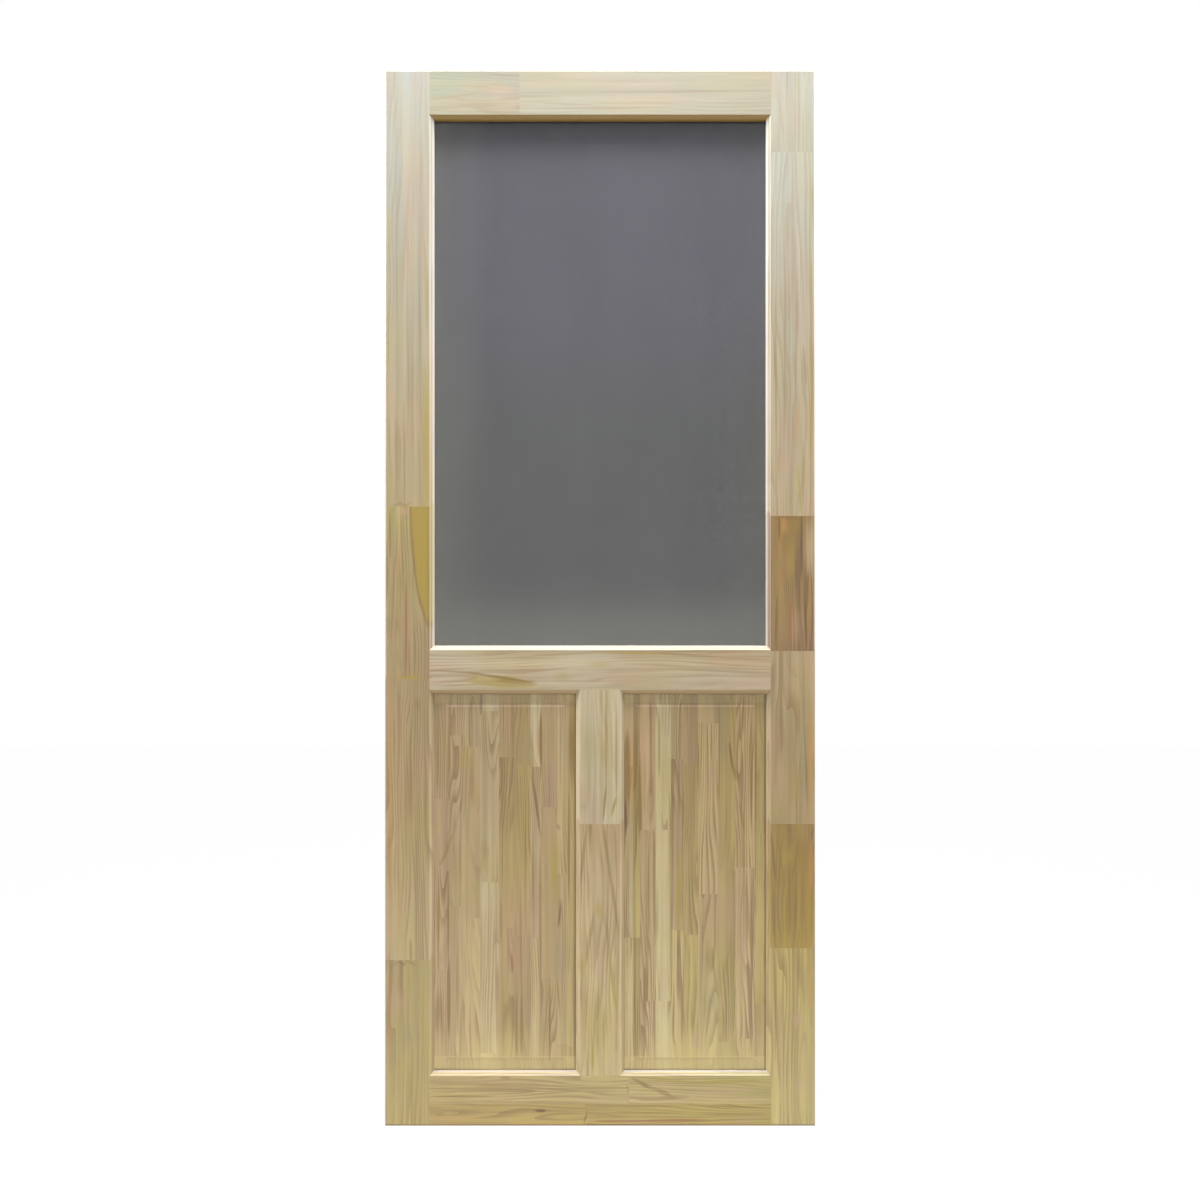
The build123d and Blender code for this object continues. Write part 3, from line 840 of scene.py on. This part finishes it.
planed_pine(
    "panel_right", tone="C4B770", far_tone="84734B", heart=(-60, 60), lean=0.3, ring=7, seed=22.3,
    edge_strength=0.3, late_strength=0.75, line_strength=0.6, contrast=0.22, rose_strength=0.2,
    staves=(
        (0, "plain"), (468, "pale"), (477, "heart"), (491, "rose"), (520, "pale"), (550, "plain"),
        (573, "brown"), (603, "plain"), (641, "brown"), (674, "rose"), (712, "heart")),
    marks=[
        # the broad pale patch low in the panel is painted light thrown up from the floor
        *right_margin_light, *right_uprights, *right_levels, patch(600, -900, 190, 90, "painted_light", 0.4),
        patch(655, -600, 80, 110, "rose", 0.3), mark(466, -331, 9, 90, "heart", 0.75),
        patch(476, -331, 8, 120, "orange", 0.5), mark(463, -427, 3.6, 44, "resin", 0.7),
        patch(483, -321, 7, 158, "heart", 0.7), mark(490, -382, 3.6, 100, "heart", 0.8),
        patch(500, -282, 11, 58, "rose", 0.45), mark(528, -278, 3, 78, "heart", 0.5),
        mark(519, -554, 4, 134, "resin", 0.45), patch(534, -581, 17, 260, "pale", 0.4),
        patch(535, -803, 16, 140, "pale", 0.35), mark(551, -581, 3, 240, "brown", 0.45),
        mark(565, -572, 5, 100, "sap", 0.9), mark(604, -323, 3, 58, "brown", 0.6),
        mark(667, -302, 3.6, 32, "resin", 0.65, fall=-9), patch(674, -331, 7, 32, "heart", 0.65, fall=-14),
        mark(691, -225, 3.6, 48, "resin", 0.35), mark(706, -333, 4, 142, "heart", 0.65),
        mark(687, -421, 3, 42, "brown", 0.5, fall=-10), patch(653, -254, 13, 96, "grey", 0.35),
        mark(697, -610, 3.6, 110, "brown", 0.55), mark(702, -779, 3.8, 116, "resin", 0.5, fall=-2),
        mark(712, -576, 3, 44, "brown", 0.25, fall=-6), mark(658, -701, 3, 56, "brown", 0.25, fall=11),
        mark(633, -705, 3, 50, "brown", 0.4, fall=-6), patch(632, -774, 8, 31, "grey", 0.45),
        patch(649, -780, 7, 29, "rose", 0.45), mark(501, -750, 4, 54, "brown", 0.8),
        mark(500, -827, 3.6, 68, "heart", 0.5, fall=-5), patch(600, -855, 14, 24, "rose", 0.45),
        patch(722, -793, 14, 88, "sap", 0.5), patch(690, -678, 12, 76, "rose", 0.35)])

# %% [markdown]
# ## The screen's stops
#
# Four thin strips at the back hold the screen. The picture doesn't show them, so they are plain: the same
# pine as the rest without marks, and with a seed for each so that no two are alike.

# %% Screen stops
stop_sides = ("left", "right", "bottom", "top")
upright_sides = ("left", "right")
for number, side in enumerate(stop_sides):
    planed_pine("stop_" + side, along="z" if side in upright_sides else "x", tone="B5A27A", far_tone="B5A27A",
                heart=(30, 20), ring=6, seed=30.0 + number, late_strength=0.3)
print("boards finished:", len([m for m in bpy.data.materials if m.name.startswith("planed pine")]))

# %% [markdown]
# ## The screen
#
# Vinyl-coated glass yarn, woven close like the cloth that keeps out the sun as well as insects: against a
# white ground the screen shows an even dark grey, and an open insect cloth would let the white through.
# A flat plate with a drawn weave would look the same from far away and false from near by, so the yarns are
# real. One flattened yarn is modelled for each direction, and an array lays it out: level yarns in front,
# upright yarns behind, each layer half as thick as the cloth. At over 2500 yarns a six-sided section is all
# that they can have, and their going over and under each other is left out.

# %% Screen yarns
screen_low, screen_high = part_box("screen_mesh")
yarn_thickness = (screen_high.y - screen_low.y) / 2
# the widths of the level and upright yarns and their distances from middle to middle
weft_width, weft_pitch = 0.6 * MM, 0.64 * MM
warp_width, warp_pitch = 0.64 * MM, 0.72 * MM


def yarn_layer(name, level, width, pitch, layer):
    """One layer of parallel flattened yarns, level or upright; layer 0 is the front one."""
    span = screen_high - screen_low
    length, room = (span.x, span.z) if level else (span.z, span.x)
    count = int((room - width) / pitch) + 1
    start = (room - (count - 1) * pitch) / 2
    centre = (screen_low + screen_high) / 2
    centre.y = screen_low.y + yarn_thickness * (layer + 0.5)
    if level:
        centre.z = screen_low.z + start
    else:
        centre.x = screen_low.x + start
    bpy.ops.object.select_all(action="DESELECT")
    bpy.ops.mesh.primitive_cylinder_add(vertices=6, radius=width / 2, depth=length, location=centre,
                                        rotation=(0, math.radians(90 if level else 0), 0))
    yarn = bpy.context.object
    yarn.name = name
    bpy.ops.object.transform_apply(location=True, rotation=True)
    bpy.ops.object.mode_set(mode="EDIT")
    bpy.ops.mesh.select_all(action="SELECT")
    bpy.ops.transform.resize(value=(1, yarn_thickness / yarn.dimensions.y, 1), center_override=centre)
    bpy.ops.object.mode_set(mode="OBJECT")
    bpy.ops.object.modifier_add(type="ARRAY")
    rows = yarn.modifiers[-1]
    rows.count = count
    rows.use_relative_offset = False
    rows.use_constant_offset = True
    rows.constant_offset_displace = (0, 0, pitch) if level else (pitch, 0, 0)
    bpy.ops.object.modifier_apply(modifier=rows.name)
    print(name, "yarns:", count, "size, mm:", [round(side / MM, 2) for side in yarn.dimensions])
    return yarn


weft = yarn_layer("screen_weft", True, weft_width, weft_pitch, 0)
warp = yarn_layer("screen_warp", False, warp_width, warp_pitch, 1)
bpy.ops.object.select_all(action="DESELECT")
warp.select_set(True)
weft.select_set(True)
bpy.context.view_layer.objects.active = weft
bpy.ops.object.join()
screen = bpy.context.object
screen.name = "screen_yarns"

# %% [markdown]
# ## Coated yarn
#
# The coating is soft grey vinyl, matt and a little blue. Yarns differ slightly in tension and dye, which the
# eye reads as faint upright lines a few millimetres apart. A second, slower change across the cloth keeps it
# from looking printed. Lower down the cloth is a darker and more neutral grey. Just above the sill it is made
# paler as painted light thrown up from the sill, along both sides, most of all on the left, it is paler with
# dust and partly painted light, and just under the top rail it is darkened as the top rail's painted shadow.

# %% Coated yarn
tension_width, tension_length = 5.5, 260
cloud_width, cloud_length = 120, 500
# the sum of the two noises keeps mostly within this span
sum_span, yarn_shades = (0.75, 1.25), (0.93, 1.07)
yarn_tone, lower_tone, dust_and_light_tone, top_rail_shadow_tone = "56555D", "505150", "8E8E84", "2C2C2E"
lower_from, lower_to = 620 * MM, 230 * MM
sill_light_height, side_dust_and_light_width, top_rail_shadow_height = 150 * MM, 130 * MM, 110 * MM
material, tree, shader = new_material("vinyl coated glass yarn")
position = add_node(tree, "TexCoord").outputs["Object"]
tensions = stretched_noise(tree, position, tension_width, tension_length, 3.0, 2.0)
clouds = stretched_noise(tree, position, cloud_width, cloud_length, 5.0, 2.0)
total = add_node(tree, "Math", {0: tensions.outputs["Fac"], 1: clouds.outputs["Fac"]}, operation="ADD")
axes = add_node(tree, "SeparateXYZ", {0: position})
tone = colour(yarn_tone)
# a darker grey lower down, the top rail's painted shadow, painted light above the sill, dust and painted
# light along the sides
for axis, start, end, code, top in (
        ("Z", lower_from, lower_to, lower_tone, 1.0),
        ("Z", screen_high.z - top_rail_shadow_height, screen_high.z, top_rail_shadow_tone, 0.6),
        ("Z", screen_low.z + sill_light_height, screen_low.z, dust_and_light_tone, 0.34),
        ("X", screen_low.x + side_dust_and_light_width, screen_low.x, dust_and_light_tone, 0.27),
        ("X", screen_high.x - side_dust_and_light_width, screen_high.x, dust_and_light_tone, 0.1)):
    tone = stained(tree, tone, code, axes.outputs[axis], (start, end), top)
tone = shaded(tree, tone, total.outputs[0], sum_span, *yarn_shades)
tree.links.new(tone, shader.inputs["Base Color"])
shader.inputs["Roughness"].default_value = 0.7
shader.inputs["Specular IOR Level"].default_value = 0.2
screen.data.materials.append(material)
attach(screen, "root")
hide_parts("screen_mesh")
print("screen triangles:", sum(len(face.vertices) - 2 for face in screen.data.polygons))

# %% [markdown]
# ## The nails in the stops
#
# Thin headed nails hold the four stops at the back, about 150 mm apart. One is modelled: a short cylinder
# whose upper rim is bevelled and whose top is pushed in a little, as a nail looks when it has been set. The
# rest are copies, each with its own mesh, joined into one piece.

# %% Places of the nails
nail_spacing = 150 * MM
nail_from_wall = 3.2 * MM


def nail_places():
    """Where the nails go, on the back of each stop."""
    places = []
    for side in stop_sides:
        low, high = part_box("stop_" + side)
        stands = side in upright_sides
        run = (high.z - low.z) if stands else (high.x - low.x)
        count = round(run / nail_spacing)
        for number in range(count):
            at = (number + 0.5) * run / count
            if stands:
                x = low.x + nail_from_wall if side == "left" else high.x - nail_from_wall
                places.append((x, high.y, low.z + at))
            else:
                z = low.z + nail_from_wall if side == "bottom" else high.z - nail_from_wall
                places.append((low.x + at, high.y, z))
    return places


places = nail_places()
print("nails:", len(places))

# %% Stop nails
nail_radius, nail_height = 0.9 * MM, 0.5 * MM
rim_bevel, top_inset, top_sink = 0.12 * MM, 0.2 * MM, 0.12 * MM
bpy.ops.object.select_all(action="DESELECT")
bpy.ops.mesh.primitive_cylinder_add(vertices=16, radius=nail_radius, depth=nail_height,
                                    rotation=(math.radians(90), 0, 0))
nail = bpy.context.object
bpy.ops.object.transform_apply(rotation=True)
bpy.ops.object.mode_set(mode="EDIT")
bpy.ops.mesh.select_all(action="DESELECT")
bpy.ops.object.mode_set(mode="OBJECT")
for face in nail.data.polygons:
    face.select = face.normal.y > 0.9
bpy.ops.object.mode_set(mode="EDIT")
bpy.ops.mesh.bevel(offset=rim_bevel, segments=2, affect="EDGES")
bpy.ops.mesh.inset(thickness=top_inset, depth=-top_sink)
bpy.ops.object.mode_set(mode="OBJECT")
nails = []
for place in places:
    copy = nail.copy()
    copy.data = nail.data.copy()
    copy.location = place
    bpy.context.scene.collection.objects.link(copy)
    nails.append(copy)
bpy.data.objects.remove(nail)
bpy.ops.object.select_all(action="DESELECT")
for copy in nails:
    copy.select_set(True)
bpy.context.view_layer.objects.active = nails[0]
bpy.ops.object.join()
stop_nails = bpy.context.object
stop_nails.name = "stop_nails"
bpy.ops.object.transform_apply(location=True)
bpy.ops.object.shade_smooth_by_angle(angle=math.radians(35))
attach(stop_nails, "root")
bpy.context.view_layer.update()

# %% [markdown]
# ## Bright drawn steel
#
# Nails are drawn wire: bare steel with fine scratches and a trace of grey oxide, so a metal with a middling
# roughness that noise makes uneven.

# %% Steel
scratch_size = 0.3
steel_roughness = (0.3, 0.55)
material, tree, shader = new_material("drawn steel wire")
position = add_node(tree, "TexCoord").outputs["Object"]
wear = add_node(tree, "TexNoise",
                {"Vector": position, "Scale": repeats(scratch_size)[0], "Detail": 2.0}).outputs["Fac"]
tint = add_node(tree, "Mix", {0: wear, 6: colour("8E8C88"), 7: colour("B4B2AE")}, data_type="RGBA")
rough = add_node(tree, "MapRange",
                 {"Value": wear, "To Min": steel_roughness[0], "To Max": steel_roughness[1]})
tree.links.new(tint.outputs[2], shader.inputs["Base Color"])
tree.links.new(rough.outputs[0], shader.inputs["Roughness"])
shader.inputs["Metallic"].default_value = 1.0
stop_nails.data.materials.append(material)
print("scratches in a metre:", round(repeats(scratch_size)[0]))
